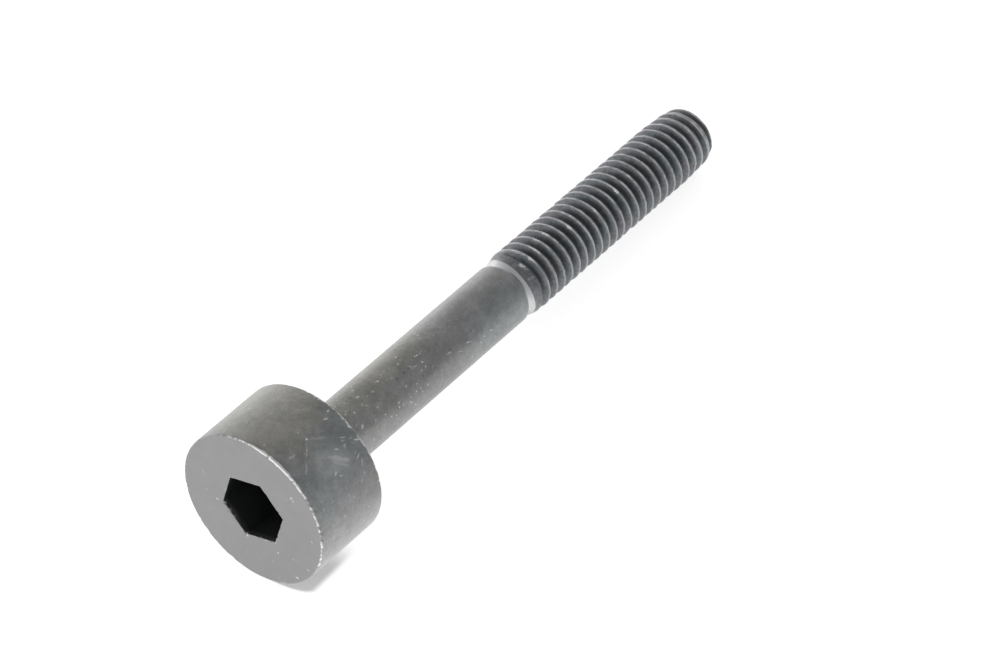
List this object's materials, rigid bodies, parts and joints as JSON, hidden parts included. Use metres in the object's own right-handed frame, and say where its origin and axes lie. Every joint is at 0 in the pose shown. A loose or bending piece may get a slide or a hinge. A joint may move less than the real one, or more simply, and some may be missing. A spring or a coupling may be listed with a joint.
{
  "type": "socket head cap screw",
  "caption": "Steel screw with a large cylindrical head, a hexagon socket, a plain shank and a rolled thread with a short neck before it.",
  "frame": {"origin": "centre of the drive face, which is the flat face of the head that the screw stands on", "axes": "+Z along the screw's axis, from the drive face to the tip of the thread; +X through a corner of the hexagon socket"},
  "size_m": [0.0186, 0.0184, 0.0794],
  "materials": {
    "steel": "dark grey oxide with bright worn edges"
  },
  "bodies": {
    "root": {"screw": "steel"}
  },
  "joints": []
}
